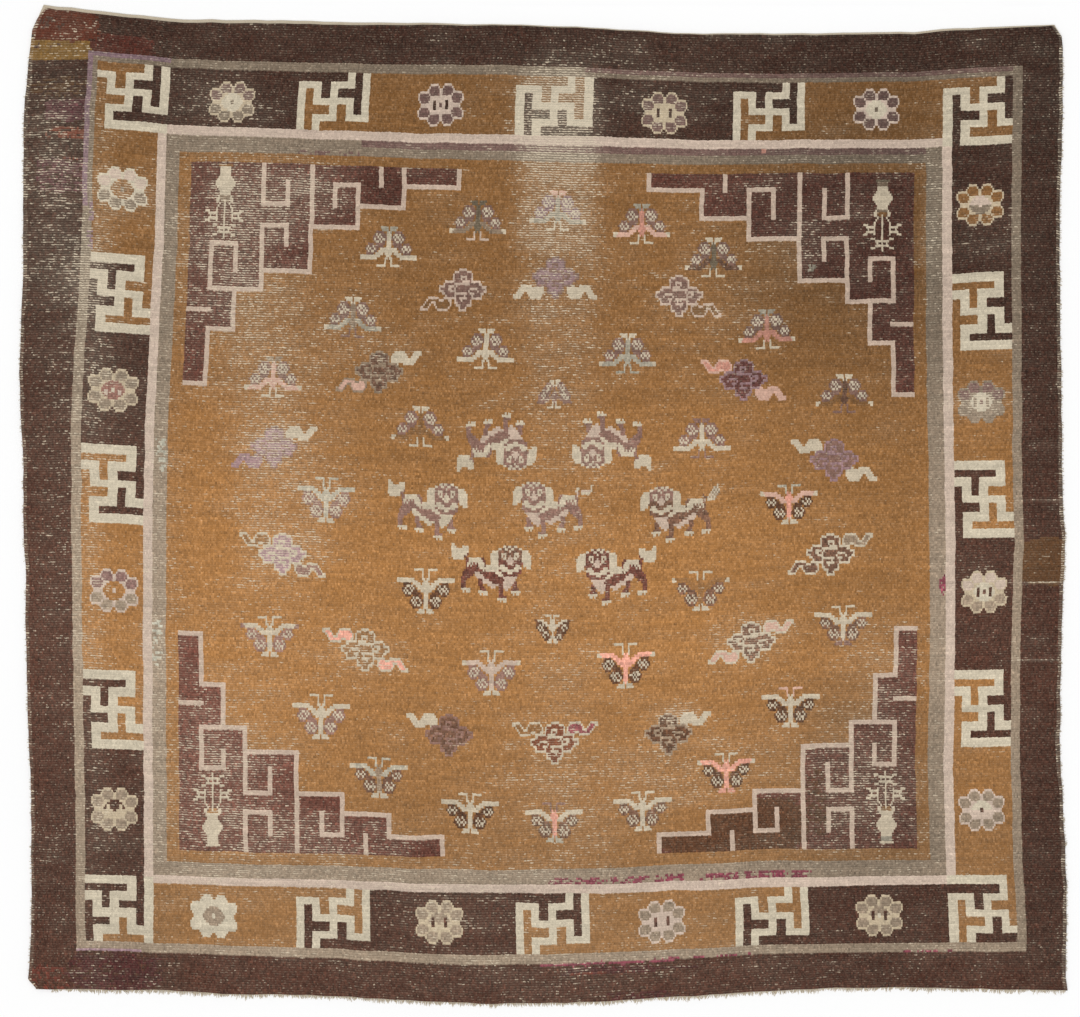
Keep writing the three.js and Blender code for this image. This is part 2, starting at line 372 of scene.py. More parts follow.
# The fret in the middle of the upper end, where the carpet was later folded, was tied a little
# wider than the others. It covers the one that the loop above has set there.
WIDE_COLUMNS = [6, 5, 6, 6, 5, 6, 5, 6, 6]
wide_fret = knots_of(KEY_FRET, FRET_ROWS, WIDE_COLUMNS)
stamp(wide_fret, fret_key("camel", "umber"), top_at[MAIN], knot_at(-78, 1129)[1])

# Corner frets: the same ivory key where two sides of the border meet, with one arm run on into the
# pink line. Each is cut short to fit its corner, so each has a chart and a count of its own.
CORNER_COLUMNS = [6, 5, 6, 6, 5, 6, 5, 5]
LEFT_CORNER_COLUMNS = [6, 5, 6, 5, 6, 5, 5, 6]
LOW_CORNER_ROWS = [4, 3, 4, 3, 4, 3, 4, 3]
upper_left = np.vstack([KEY_FRET[:, 1:], list("lXXXXXXX")])
upper_right = np.vstack([KEY_FRET[:, :8], list("XlXXXXXX")])
lower_left = np.hstack([np.rot90(KEY_FRET, -1)[:8], np.full((8, 1), "X")])
lower_right = np.vstack([list("XXXXXXXr"), KEY_FRET[:, :8]])
top_start, left_start, last_start = top_at[MAIN], left_at[MAIN], bottom_at[INNER_LINE]
right_start = right_at[MAIN] - sum(CORNER_COLUMNS)
low_start = bottom_at[MAIN] - sum(LOW_CORNER_ROWS)
CORNER_FRETS = [
    (upper_left, FRET_ROWS + [4], LEFT_CORNER_COLUMNS, "camel umber camel umber", top_start, left_start),
    (upper_right, FRET_ROWS + [4], CORNER_COLUMNS, "camel umber umber camel", top_start, right_start),
    (lower_left, LOW_CORNER_ROWS, TURNED_COLUMNS + [6], "umber camel umber umber", low_start, left_start),
    (lower_right, [4] + FRET_ROWS, CORNER_COLUMNS, "umber camel camel umber", last_start, right_start),
]
for cells, heights, widths, wools, row, column in CORNER_FRETS:
    stamp(knots_of(cells, heights, widths), dict(zip("trlb", wools.split()), X="ivory"), row, column)

# Rosettes: one flower of eight petals in the middle of each border panel, outlined in a paler wool.
# One quarter is charted and turned over, with letters of their own below for the other wools.
ROSETTE_QUARTER = letters("""
..OOOOO........
.OpppppO.......
OpppppppO......
OpppppppOOOOOO.
OppppppOppppppO
CCCOOOOpppppppO
CCCCCOOpppppppO
CCCEECOOpppppO.
NCCEECCOOOOOO..
""")
LOWER_LETTERS = {"p": "q", "C": "D", "E": "F"}
# Petals, outline, heart, the marks on either side of it, and its eye. Petals, heart and marks are
# named twice, above and below, since a wool often ran out half way through a flower.
ROSETTES = [
    ((-871, 1141), "mauve grey straw ivory ivory ivory ivory grey"),
    ((-286, 1129), "mauve mauve pink pink pink umber umber mauve"),
    ((339, 1110), "mauve mauve straw straw straw umber umber straw"),
    ((932, 1115), "mauve mauve pink ivory ivory ivory ivory grey"),
    ((-1179, 891), "pink grey ivory camel camel camel camel grey"),
    ((-1204, 331), "grey grey straw old_rose old_rose old_rose pink ivory"),
    ((-1201, -229), "mauve grey pink camel camel camel camel pink"),
    ((-1201, -839), "grey grey straw umber straw straw straw umber"),
    ((1226, 852), "camel camel straw pink grey pink grey pink"),
    ((1229, 298), "mauve grey grey ivory ivory grey grey mauve"),
    ((1235, -234), "pink grey straw ivory ivory umber umber brown"),
    ((1229, -842), "grey grey pink ivory pink ivory pink brown"),
    ((-921, -1139), "ivory ivory ivory grey grey grey grey ivory"),
    ((-291, -1158), "grey grey straw grey straw umber umber grey"),
    ((333, -1158), "grey grey pink pink pink brown brown pink"),
    ((941, -1141), "grey grey straw grey straw umber umber ivory"),
]
upper = np.hstack([ROSETTE_QUARTER[:, ::-1], ROSETTE_QUARTER])
lower = upper[::-1].copy()
for letter, other in LOWER_LETTERS.items():
    lower[lower == letter] = other
rosette = np.vstack([upper, lower])
for (x, y), wools in ROSETTES:
    stamp_about(rosette, dict(zip("pqOCDEFN", wools.split())), x, y)

# Stepped corners of the field: aubergine ground with a meander of pink line, turned over from corner
# to corner and never counted quite alike. First the columns where the uprights stand, then the rows
# where the lines lie, in knots from the field's own corner; the rest names them by their number.
CORNERS = [
    ((8, 21, 37, 54, 70, 86, 101, 116, 131, 146, 182), (4, 11, 20, 29, 37, 48, 56, 65, 73, 96)),
    ((8, 20, 35, 50, 65, 81, 98, 114, 130, 145, 180), (4, 10, 22, 31, 40, 49, 58, 68, 76, 98)),
    ((8, 21, 35, 49, 65, 82, 98, 111, 126, 141, 175), (5, 12, 21, 29, 39, 46, 56, 66, 74, 95)),
    ((8, 20, 33, 48, 63, 79, 96, 110, 125, 140, 172), (5, 12, 21, 29, 40, 48, 58, 68, 78, 98)),
]
LINE_COLUMNS, LINE_ROWS = 3, 2
# Steps of the ground, lines along the rows and lines down the columns.
STEPS = [(0, 1, 10), (1, 2, 9), (2, 3, 7), (3, 5, 5), (5, 6, 3), (6, 8, 2), (8, 9, 1)]
ALONG = [(1, 9, 10), (2, 7, 9), (3, 5, 7), (5, 3, 5), (6, 1, 3), (8, 1, 2), (9, 0, 1),
         (2, 3, 4), (1, 6, 7), (3, 3, 4), (4, 1, 2), (7, 0, 1)]
DOWN = [(10, 0, 1), (9, 1, 2), (7, 1, 3), (5, 0, 5), (3, 3, 6), (2, 6, 8), (1, 8, 9),
        (3, 0, 2), (4, 1, 2), (4, 3, 4), (1, 4, 6), (2, 4, 5), (6, 1, 2), (8, 0, 1)]


def tie_block(corner, rows, columns, name):
    """Ties a block in one wool, from its first line to the far side of its last."""
    corner[rows[0]:rows[1] + LINE_ROWS, columns[0]:columns[1] + LINE_COLUMNS] = dye(name)


field = chart[top_at[FIELD]:bottom_at[FIELD], left_at[FIELD]:right_at[FIELD]]
turned_over = (field, field[:, ::-1], field[::-1], field[::-1, ::-1])
for (columns, rows), corner in zip(CORNERS, turned_over):
    for first, last, reach in STEPS:
        tie_block(corner, (rows[first], rows[last]), (columns[0], columns[reach]), "aubergine")
    for row, first, last in ALONG:
        tie_block(corner, (rows[row], rows[row]), (columns[first], columns[last]), "pink")
    for column, first, last in DOWN:
        tie_block(corner, (rows[first], rows[last]), (columns[column], columns[column]), "pink")
# The upper left corner has one short upright more.
columns, rows = CORNERS[0]
field[rows[0]:rows[1], columns[9]:columns[9] + LINE_COLUMNS] = dye("pink")

# Vases: one ivory vase with three sprigs in each stepped corner, its foot towards the nearest end.
# Half of it is charted, with the mouth, the neck, the stem and the foot in whatever wool was to hand.
VASE_HALF = letters("""
W............
W....WWW.....
WWWWW........
W..W.........
WWWWW........
W....WWW.....
W............
W....W....WWW
W....WWWWWW..
W....W...W...
W....WWWWWW..
W....W....WWW
W....W.......
W...W........
W..W.........
WOO.WW.......
OOOOWW.......
RRRRW........
WWWW.........
WWWW.........
WWWWW........
WWWWWW.......
WWWWWWW......
WWWWWWW......
WWWWWW.......
WWWWW........
WWWW.........
WWWW.........
GGGG.........
GGGG.........
FFFFF........
""")
vase = np.hstack([VASE_HALF[:, :0:-1], VASE_HALF])
VASES = [
    ((-893, 861), -1, {"O": "grey", "R": "grey", "G": "ivory", "F": "camel"}),
    ((948, 821), -1, {"O": "camel", "R": "grey", "G": "grey", "F": "slate"}),
    ((-927, -841), 1, {"O": "camel", "R": "ivory", "G": "ivory", "F": "ivory"}),
    ((960, -833), 1, {"O": "camel", "R": "ivory", "G": "mint", "F": "ivory"}),
]
for (x, y), way, wools in VASES:
    stamp_about(vase[::way], {"W": "ivory", **wools}, x, y)

# Butterflies: scattered over the field in two mirrored halves, antennae towards the middle.
# All but two small ones are one drawing in whatever wools were to hand: feelers, wing bar, its tip,
# body, lobes hatched with ivory, and tail. Most have two rows fewer than the tall ones.
BUTTERFLY_HALF = letters("""
..AAAAAA...........
..A................
..A................
..A................
.CA.....BBBBBBBBBTT
CC....BBBBBBBBBBTTT
CCC.BBBBB.DDDDD....
CCCBBBB.DLLLLLD....
CCBBBB.DLLLLLLLD...
CCCB..DDLLLLLLLD...
CC..DDDDDLLLLLD....
CC.DDDDDD.DDDD.....
CC.DLLLLLD.........
CCDLLLLLLLD........
CCDLLLLLLLD........
CC.DLLLLLD.........
CF..DDDDD..........
.FFFF..............
.FFFFF.............
""")
SMALL_BUTTERFLY_HALF = letters("""
.AAAA.......
.A..........
CA....BBBBTT
CC..BBBDDDD.
CCBBBDLLLLD.
CCB.DLLLLLD.
CC.DDDLLLD..
C..DLLDDD...
C.DLLLLD....
CFDLLLD.....
.FFDDD......
.FFF........
""")
ROWS_LEFT_OUT = (3, 9)
STROKE_SLANT, STROKE_PITCH = 1.4, 2.6
butterfly = np.hstack([BUTTERFLY_HALF[:, :0:-1], BUTTERFLY_HALF])
close_butterfly = np.delete(butterfly, ROWS_LEFT_OUT, axis=0)
small_butterfly = np.hstack([SMALL_BUTTERFLY_HALF[:, :0:-1], SMALL_BUTTERFLY_HALF])


def hatched(rows):
    """Fills the wing lobes with slanting strokes of ivory and of the wing's own wool."""
    row, column = np.indices(rows.shape)
    stroke = (column + STROKE_SLANT * row) % STROKE_PITCH < STROKE_PITCH / 2
    return np.where(rows == "L", np.where(stroke, "W", "D"), rows)


BUTTERFLIES_DOWN = [
    ((-183, 809), "pink grey ivory slate mauve slate"),
    ((39, 838), "ivory mint ivory mint lavender rose"),
    ((274, 800), "ivory rose ivory salmon mauve mint"),
    ((-434, 735), "ivory ivory ivory ivory mauve mint"),
    ((477, 709), "ivory brown ivory slate mauve ivory"),
    ((-533, 539), "mauve mint ivory grey mauve ivory"),
    ((-165, 452), "ivory ivory ivory ivory mauve ivory"),
    ((237, 442), "mint mint ivory mint mauve ivory"),
    ((624, 505), "ivory salmon ivory salmon mauve mint"),
    ((-759, 373), "ivory rose ivory rose mauve grey"),
    ((-347, 233), "ivory tan ivory tan mauve ivory"),
    ((442, 203), "mauve ivory ivory ivory mauve mauve"),
    ((842, 326), "mauve tan ivory brown mauve ivory"),
]
BUTTERFLIES_UP = [
    ((685, 12), "mint rose ivory salmon umber ivory"),
    ((437, -231), "ivory tan ivory tan brown ivory"),
    ((-766, -352), "ivory ivory mauve ivory mauve ivory"),
    ((837, -324), "ivory ivory ivory ivory brown mauve"),
    ((689, -553), "rose ivory ivory ivory umber ivory"),
    ((-462, -752), "mint mint ivory grey brown ivory"),
    ((510, -735), "ivory salmon ivory salmon umber salmon"),
    ((-204, -850), "ivory ivory ivory ivory umber ivory"),
    ((276, -847), "ivory ivory ivory ivory brown ivory"),
    ((30, -874), "mauve ivory ivory salmon brown mint"),
]
BUTTERFLIES_TALL = [
    ((-609, 28), "mint mint mint mint mauve ivory"),
    ((-330, -231), "ivory ivory ivory ivory umber ivory"),
    ((-147, -455), "ivory pink ivory pink mauve ivory"),
    ((228, -441), "ivory salmon ivory salmon umber ivory"),
    ((-623, -581), "ivory ivory ivory ivory mauve ivory"),
]
SMALL_BUTTERFLIES_DOWN = [((31, 323), "ivory mauve mauve mauve mauve ivory")]
SMALL_BUTTERFLIES_UP = [((27, -338), "ivory ivory umber ivory umber ivory")]
DRAWINGS = (
    (close_butterfly[::-1], BUTTERFLIES_DOWN), (close_butterfly, BUTTERFLIES_UP),
    (butterfly, BUTTERFLIES_TALL), (small_butterfly[::-1], SMALL_BUTTERFLIES_DOWN),
    (small_butterfly, SMALL_BUTTERFLIES_UP),
)
for drawing, places in DRAWINGS:
    for (x, y), wools in places:
        stamp_about(hatched(drawing), dict(zip("ABTCDF", wools.split()), W="ivory"), x, y)

# Clouds: curled cloud heads with a trailing wisp at one or two corners, between the butterflies.
# Each has a place, its filling and outline, and for each wisp the corner, filling and outline.
CLOUD = letters("""
.............WWWWW.............
..........WWWmmmmmWWW..........
.........WmmmmmmmmmmmW.........
.........WmmmmWWWWmmmW.........
.........WmmmmWmmWmmmW.........
....WWWWWWmmmmmWWWWWmWWWWWW....
...WmmmmmmWWWWWWWWWWmmmmmmWW...
WWWWmmWWWWmWmmmmmmmmmmmmmmmmWWW
WmmmmmWWmmWmmmmmmmmmWWWWWmmmmmW
WWWmmmmWWWWmmmmmmmmWmmmmmWmmmWW
..WWmmmmmmWWWWWWWWmmWWWmmmmWW..
....WmmmmmWmmmmmWmmmmWmmmmmW...
.....WWWWWWmmWWWWWmmmWWWWWWW...
..........WmmmWmmmmmW..........
..........WWmmmmmmmmW..........
...........WWWmmmmWWW..........
.............WmmmW.............
.............WWWWW.............
""")
WISP = letters("""
.....WWWWWWW...WWW...
....WfffffffWWWfffWW.
...WfffWWWfffffffffW.
..WfffW..WfffffffffW.
WWfffW....WfffffffW..
WWWWW......WWWWWWW...
""")
WISP_COLUMNS, WISP_ROWS = 17, 6
CLOUDS = [
    ((-227, 613), "mauve pink", "ll tan pink"),
    ((36, 648), "lavender mauve", "ll ivory ivory", "lr ivory ivory"),
    ((378, 596), "mauve pink", "lr tan pink"),
    ((-463, 382), "brown grey", "ur ivory ivory", "ll rose grey"),
    ((560, 359), "plum lavender", "ul salmon rose", "lr rose rose"),
    ((-756, 175), "lavender mauve", "ur ivory ivory", "ll lavender lavender"),
    ((815, 138), "mauve lavender", "ul ivory ivory", "lr ivory ivory"),
    ((-734, -125), "lavender ivory", "ul tan ivory", "lr mauve ivory"),
    ((804, -131), "brown ivory", "ur grey ivory", "ll brown ivory"),
    ((-500, -394), "tan ivory", "ul salmon ivory", "lr salmon ivory"),
    ((580, -374), "brown ivory", "ur rose ivory", "ll rose ivory"),
    ((-266, -635), "brown mauve", "ul ivory ivory"),
    ((31, -660), "madder ivory", "ul tan ivory", "ur magenta ivory"),
    ((347, -629), "umber grey", "ur ivory ivory"),
]
for (x, y), wools, *wisps in CLOUDS:
    row, column = knot_at(x, y)
    reversed_head = any(line[:2] in ("ul", "lr") for line in wisps)
    for line in wisps:
        corner, fill, outline = line.split()
        way_up, way_across = (1 if side == "l" else -1 for side in corner)
        wisp = WISP[::way_up, ::way_across]
        first_row = row + way_up * WISP_ROWS - wisp.shape[0] // 2
        first_column = column - way_across * WISP_COLUMNS - wisp.shape[1] // 2
        stamp(wisp, {"W": outline, "f": fill}, first_row, first_column)
    fill, outline = wools.split()
    head = CLOUD[:, ::-1] if reversed_head else CLOUD
    stamp(head, {"W": outline, "m": fill}, row - head.shape[0] // 2, column - head.shape[1] // 2)

# Lion-dogs: seven shaggy guardian dogs gathered about the middle of the field, two of them
# upside down for those who sit at the upper end. Three kinds of tail: brush, curl and leaf.
DOG = letters("""
...................................................
.................................WWHWWHHWW.........
..............................WWHHWWHHWWHHHWW......
..........................WWWWHHHHHHHWHHHHHHHWWWW..
..........D..............WWWWWHHWWWHHHHHWWWHHWWWWW.
........DD...............WWWWWHHWHWHHPHHWHWHHWWWWWW
.........DDWWWWWWWWDD....WWWWWHHHWWHPPPHWWHHHWWWWWW
.........DDWWWWWWWWWDD...WWWWWDDDDDPPPPPDDDDDWWWWWW
.........DWWDWDWDWWWWD...WWWWWDDDDDDPPPDDDDDDDWWWWW
.........DWDWDDDDWWWWDWWWWWWWWDWWWDDDDDDDWWWD.WWWWW
.........DDDDDDDDDWWWWWWWWWWWWWWWWWWDDDDWWWWW...WWW
........DDDDDDDDDDDDWDWWWWWWWWDDWWWWWWWWWWWDD......
.......DDDDDDDDPPPDDDDDDDDDDWWWWDDDDWWWDDDDDD......
.......DDDDDDD.PPPPPDDDDDDDDDDWWWDDDDDDDDDD........
......DDDDDD....PPPPPDDDDDDDDDDDDPPPPPPPPP.........
......DDDD.......DDDPPPPDDDDDDDDDDPPPPPPP..........
......DDD........DDDPPPPPPDDDDDDDPPPPPPPDD.........
......DDD........DDD...PPPPPPPDDDPPPPPPDDD.........
......DDD.........DDD....PPP..DDDPPPPP.DDD.........
......WWWWWW......DDDD........DDD.PP..DDDDD........
.......W.WWW.....WWWWWW.......DDD.....WWWWWW.......
..................W.WWW.......DDD......W.WW........
..............................DDDDD................
.............................WWWWWW................
...............................W.WW................
""")
DOG_TAILS = {
    "brush": letters("""
WW.........
WWW....WWWW
WWWWWWWWWWW
WWWWWWWWWWW
WWWWWWWWWW.
WWWWWWWW...
.WWWWWWW...
"""),
    "curl": letters("""
...........
...........
W..........
W.......WW.
WPPPPPP..PP
.WWWWWW..P.
.........P.
"""),
    "leaf": letters("""
.W.........
.WGW.......
WGWGW......
GWGWGW.....
.GWGWGW....
..GWGWGW...
...WWWWW.P.
"""),
}
# Middle, which way up and round, kind of tail, and the wools of face, coat and belly.
DOGS = [
    ((-148, -178), 1, 1, "brush", "brown aubergine pink"),
    ((207, -181), 1, -1, "brush", "aubergine aubergine pink"),
    ((-325, -2), 1, 1, "brush", "mauve mauve ivory"),
    ((25, -2), 1, -1, "curl", "mauve mauve pink"),
    ((381, -7), 1, -1, "leaf", "mauve brown pink"),
    ((-132, 189), -1, 1, "brush", "mauve mauve pink"),
    ((190, 189), -1, -1, "brush", "mauve mauve pink"),
]
for (x, y), way_up, way_across, kind, wools in DOGS:
    dog = DOG.copy()
    tail = DOG_TAILS[kind]
    tail_room = dog[:tail.shape[0], :tail.shape[1]]
    tail_room[tail != "."] = tail[tail != "."]
    key = dict(zip("HDP", wools.split()), W="ivory", G="grey")
    stamp_about(dog[::way_up, ::way_across], key, x, y)

# Two-wool bands: the outer half of the upper inner line is mauve over most of its length, and so is
# that of the outermost line right of the fold. The outermost line is half lavender about the upper
# left corner, and a quarter lavender at the lower left.
MAUVE_FROM, OUTER_MAUVE_FROM = knot_at(-509, 1003)[1], knot_at(118, 1227)[1]
LAVENDER_DOWN, LAVENDER_ALONG = knot_at(-1268, 849)[0], knot_at(-1039, 1269)[1]
LOW_LAVENDER = knot_at(-1123, -1237)[1]
# First row and the row after the last, the same for columns, and the wool.
TWO_WOOL_BANDS = [
    (top_at[INNER_LINE], top_at[INNER_LINE] + 3, MAUVE_FROM, right_at[FIELD], "mauve"),
    (top_at[OUTER_LINE], top_at[OUTER_LINE] + 2, OUTER_MAUVE_FROM, right_at[MAIN], "mauve"),
    (top_at[OUTER_LINE], top_at[OUTER_LINE] + 2, left_at[OUTER_LINE], LAVENDER_ALONG, "lavender"),
    (top_at[OUTER_LINE], LAVENDER_DOWN, left_at[OUTER_LINE], left_at[OUTER_LINE] + 3, "lavender"),
    (bottom_at[OUTER_LINE] - 1, bottom_at[OUTER_LINE], left_at[OUTER_LINE], LOW_LAVENDER, "lavender"),
]
for first_row, end_row, first_column, end_column, name in TWO_WOOL_BANDS:
    chart[first_row:end_row, first_column:end_column] = dye(name)

# Odd wools: places where the weaver ran out of a dye or a later hand re-knotted a worn patch.
# Middle of the patch, its half width and half height in millimetres, the dye, and how much of it
# took, 1 and more where every knot did.
KNOT_WIDTH_MM, KNOT_HEIGHT_MM = 4.36, 6.6
PATCHES = [
    ((-1341, 1362), 85, 42, "madder", 1.5), ((-1179, 1297), 78, 28, "oxblood", 1.3),
    ((-1358, 1292), 86, 29, "ochre", 1.5), ((-1380, 1359), 40, 14, "brown", 0.45),
    ((-1389, 1295), 34, 9, "brown", 0.5), ((-1336, 1121), 52, 30, "plum", 1.3),
    ((-1330, 1054), 52, 16, "brick", 0.55), ((-1347, 942), 62, 46, "plum", 0.8),
    ((-1319, 975), 36, 8, "brick", 0.6), ((-1330, 933), 44, 6, "brick", 0.5),
    ((-1352, 1185), 70, 26, "russet", 0.6), ((-1268, 793), 8, 70, "lavender", 0.5),
    ((92, -1041), 80, 9, "magenta", 0.62), ((244, -1038), 55, 9, "magenta", 0.62),
    ((350, -1032), 42, 9, "magenta", 0.6), ((515, -1024), 75, 10, "magenta", 0.6),
    ((658, -1021), 90, 11, "magenta", 0.7), ((1084, -1239), 70, 4, "magenta", 0.4),
    ((165, -1300), 85, 4, "oxblood", 0.6), ((182, -1287), 125, 12, "maroon", 1.3),
    ((342, -1286), 90, 6, "maroon", 1.0), ((272, -1363), 100, 8, "maroon", 0.6),
    ((168, -1269), 185, 6, "magenta", 0.95), ((440, -1251), 130, 5, "magenta", 0.45),
    ((1400, -145), 62, 61, "russet", 2.0), ((1117, -209), 10, 28, "magenta", 0.8),
    ((616, 1015), 14, 12, "salmon", 0.5), ((753, 673), 12, 8, "mint", 0.7),
    ((-1072, 166), 14, 52, "mint", 0.4), ((-1084, -371), 14, 66, "mint", 0.4),
    ((-1207, -1293), 130, 48, "maroon", 0.85), ((-1375, -1309), 66, 36, "oxblood", 0.4),
    ((-596, 995), 90, 9, "mauve", 0.45), ((521, -889), 205, 75, "umber", 1.5),
    ((762, -817), 30, 90, "umber", 0.6),
]
# These wools went into one ground alone. The others went anywhere but into ivory and pink.
ONLY_INTO = dict.fromkeys(("madder", "oxblood", "maroon", "brick", "ochre", "plum", "russet"), "umber")
ONLY_INTO.update({"umber": "aubergine", "mauve": "grey"})
PATCH_RUN, PATCH_EDGE = 4, 1.6
SQUARE_SIDED, ROUND_SIDED = 4, 2
tuft_row, tuft_column = np.indices(chart.shape)


def far_from(x, y, half_width, half_height, power):
    """How far every knot lies from a place, counted along the rows and the columns, 1 at its edge."""
    row, column = knot_at(x, y)
    sideways = abs(tuft_column - column) * KNOT_WIDTH_MM / half_width
    lengthways = abs(tuft_row - row) * KNOT_HEIGHT_MM / half_height
    return sideways ** power + lengthways ** power


def ranked(noise):
    """Rank from 0 to 1 of every knot, for picking out a share of them."""
    order = np.empty(noise.size)
    order[np.argsort(noise, axis=None)] = np.linspace(0, 1, noise.size)
    return order.reshape(noise.shape)


def streaks(run):
    """Noise that runs along the rows for about so many knots."""
    noise = draw.standard_normal((ROWS, COLUMNS + run))
    total = np.cumsum(noise, axis=1)
    return (total[:, run:] - total[:, :-run]) / math.sqrt(run)


def tied_in(*wools):
    """Which knots are of these wools."""
    return np.isin(chart, [dye(name) for name in wools])


patch_rank = ranked(streaks(PATCH_RUN))
for (x, y), half_width, half_height, name, share in PATCHES:
    distance = far_from(x, y, half_width, half_height, SQUARE_SIDED)
    takes = patch_rank < share * np.clip(PATCH_EDGE - distance, 0, 1)
    if name in ONLY_INTO:
        takes &= tied_in(ONLY_INTO[name])
    else:
        takes &= ~tied_in("ivory", "pink")
    chart[takes] = dye(name)

# Wear: the pile is trodden down to the ivory weft in dashes along the rows, and every wool has grown
# flecked. Camel and umber wear harder than the rest, and sound umber has felted to single specks.
# The old fold at the upper end is worn between sharper sides than the other places.
FLECKS = {
    "camel": 0.022, "umber": 0.035, "aubergine": 0.04, "grey": 0.07, "mauve": 0.05, "lavender": 0.06,
}
OTHER_FLECKS, MOST_FLECK = 0.03, 0.6
HARD_WEARING = {"camel": 0.8, "umber": 0.6}
TREAD, TREAD_DRIFT, TREAD_GUSTS, MOST_TREAD = 0.05, 0.07, 0.3, 0.9
TREAD_WAVES, GUST_WAVES = (80, 36), (120, 50)
LEFT_EDGE_TREAD, RIGHT_EDGE_TREAD, EDGE_KNOTS = 0.3, 0.45, 2
DASH_GAIN, DASH_START, MOST_DASHES = 1.9, 0.05, 0.95
DASH_RUN, SPECK_RUN, LONG_RUN, LONG_SHARE = 2, 1, 8, 0.4
DASH_DEPTH, DASH_POWER = (0.35, 1.0), 0.8
SOFT_GAIN, SOFT_END, LEAST_SOFT = 0.9, 1.2, 0.05
SOUND_BELOW = 0.14
SEAM_SHARE, SEAM_START, SEAM_UNEVEN, UMBER_SEAMS = 0.45, 0.06, (0.2, 1.8), 0.4
# Middle of each worn place, half width and half height in millimetres, and how far the pile is gone,
# below zero where it was spared.
FOLD_PLACES = [
    ((42, 1121), 108, 116, 0.72), ((36, 1003), 104, 60, 0.3), ((42, 869), 112, 150, 0.5),
    ((36, 499), 110, 260, 0.14),
]
WORN_PLACES = [
    ((36, 1093), 160, 90, 0.12), ((6, 611), 130, 200, 0.06), ((36, -313), 120, 900, 0.10),
    ((-1282, 625), 60, 120, 0.45), ((-1380, 891), 80, 300, 0.36), ((-1352, -117), 90, 900, 0.14),
    ((-1263, -537), 40, 700, 0.2), ((-1254, 583), 40, 500, 0.2), ((-876, 723), 150, 260, 0.36),
    ((-904, -733), 180, 260, 0.31), ((-792, -985), 700, 90, 0.08), ((-680, 891), 220, 80, 0.3),
    ((888, -761), 170, 200, 0.28), ((-770, 163), 110, 380, 0.3), ((-1184, 891), 75, 55, 0.5),
    ((-904, 1146), 130, 60, 0.3), ((339, 1110), 90, 50, 0.16), ((1224, 298), 80, 45, 0.4),
    ((384, -789), 260, 170, 0.18), ((160, 149), 200, 70, 0.06), ((1406, 23), 60, 5, 0.5),
    ((1392, -206), 70, 4, 0.6), ((1392, -425), 60, 4, 0.5), ((48, -1279), 1000, 110, 0.1),
    ((-1072, -145), 60, 700, 0.15), ((440, 583), 220, 170, 0.1), ((28, 583), 110, 50, 0.06),
    ((-756, 177), 100, 60, 0.3), ((-728, -122), 120, 60, 0.3), ((-507, -391), 100, 60, 0.28),
    ((580, -369), 100, 60, 0.28), ((364, -570), 60, 30, 0.4), ((664, 891), 330, 100, 0.04),
    ((-624, -915), 200, 60, 0.2), ((608, -915), 160, 60, 0.2), ((-610, 32), 100, 60, 0.3),
    ((720, 709), 110, 70, 0.1), ((440, 1171), 420, 70, 0.08), ((1084, 807), 30, 200, 0.25),
    ((1238, 1157), 110, 60, 0.1), ((1238, 779), 90, 110, 0.08), ((-1207, 303), 100, 200, 0.14),
    ((1224, -145), 110, 140, 0.1), ((944, -425), 100, 120, 0.22), ((272, 1283), 220, 60, 0.08),
    ((48, -817), 200, 200, 0.1), ((518, -895), 210, 70, -0.25), ((-448, 900), 55, 58, -0.3),
    ((-288, -1097), 300, 90, 0.12), ((-568, 471), 220, 160, 0.14),
]
tread = TREAD + TREAD_DRIFT * drift(ROWS, COLUMNS, *TREAD_WAVES)
for places, power in ((FOLD_PLACES, SQUARE_SIDED), (WORN_PLACES, ROUND_SIDED)):
    for (x, y), half_width, half_height, amount in places:
        tread += amount * np.exp(-far_from(x, y, half_width, half_height, power))
tread[:, -EDGE_KNOTS:] += RIGHT_EDGE_TREAD
tread[:, :EDGE_KNOTS] += LEFT_EDGE_TREAD
tread = np.clip(tread * (1 + TREAD_GUSTS * drift(ROWS, COLUMNS, *GUST_WAVES)), 0, MOST_TREAD)
fleck, yields = np.full(tread.shape, OTHER_FLECKS), np.ones(tread.shape)
for name, amount in FLECKS.items():
    fleck[chart == dye(name)] = amount
for name, amount in HARD_WEARING.items():
    yields[chart == dye(name)] = amount
share = np.clip(DASH_GAIN * tread * yields - DASH_START, 0, MOST_DASHES)
softness = SOFT_GAIN * share * (SOFT_END - share) + LEAST_SOFT
sound_umber = tied_in("umber") & (tread < SOUND_BELOW)
worn_first = np.where(sound_umber, streaks(SPECK_RUN), streaks(DASH_RUN)) + LONG_SHARE * streaks(LONG_RUN)
dashes = np.clip((share - ranked(worn_first)) / softness, 0, 1) ** DASH_POWER
dashes *= draw.uniform(*DASH_DEPTH, tread.shape)
specks = np.clip(fleck * draw.exponential(1.0, tread.shape), 0, MOST_FLECK)
seams = SEAM_SHARE * np.clip(tread - SEAM_START, 0, 1) * draw.uniform(*SEAM_UNEVEN, tread.shape)
seams[tied_in("umber")] *= UMBER_SEAMS
bare = np.maximum(dashes, specks + seams)

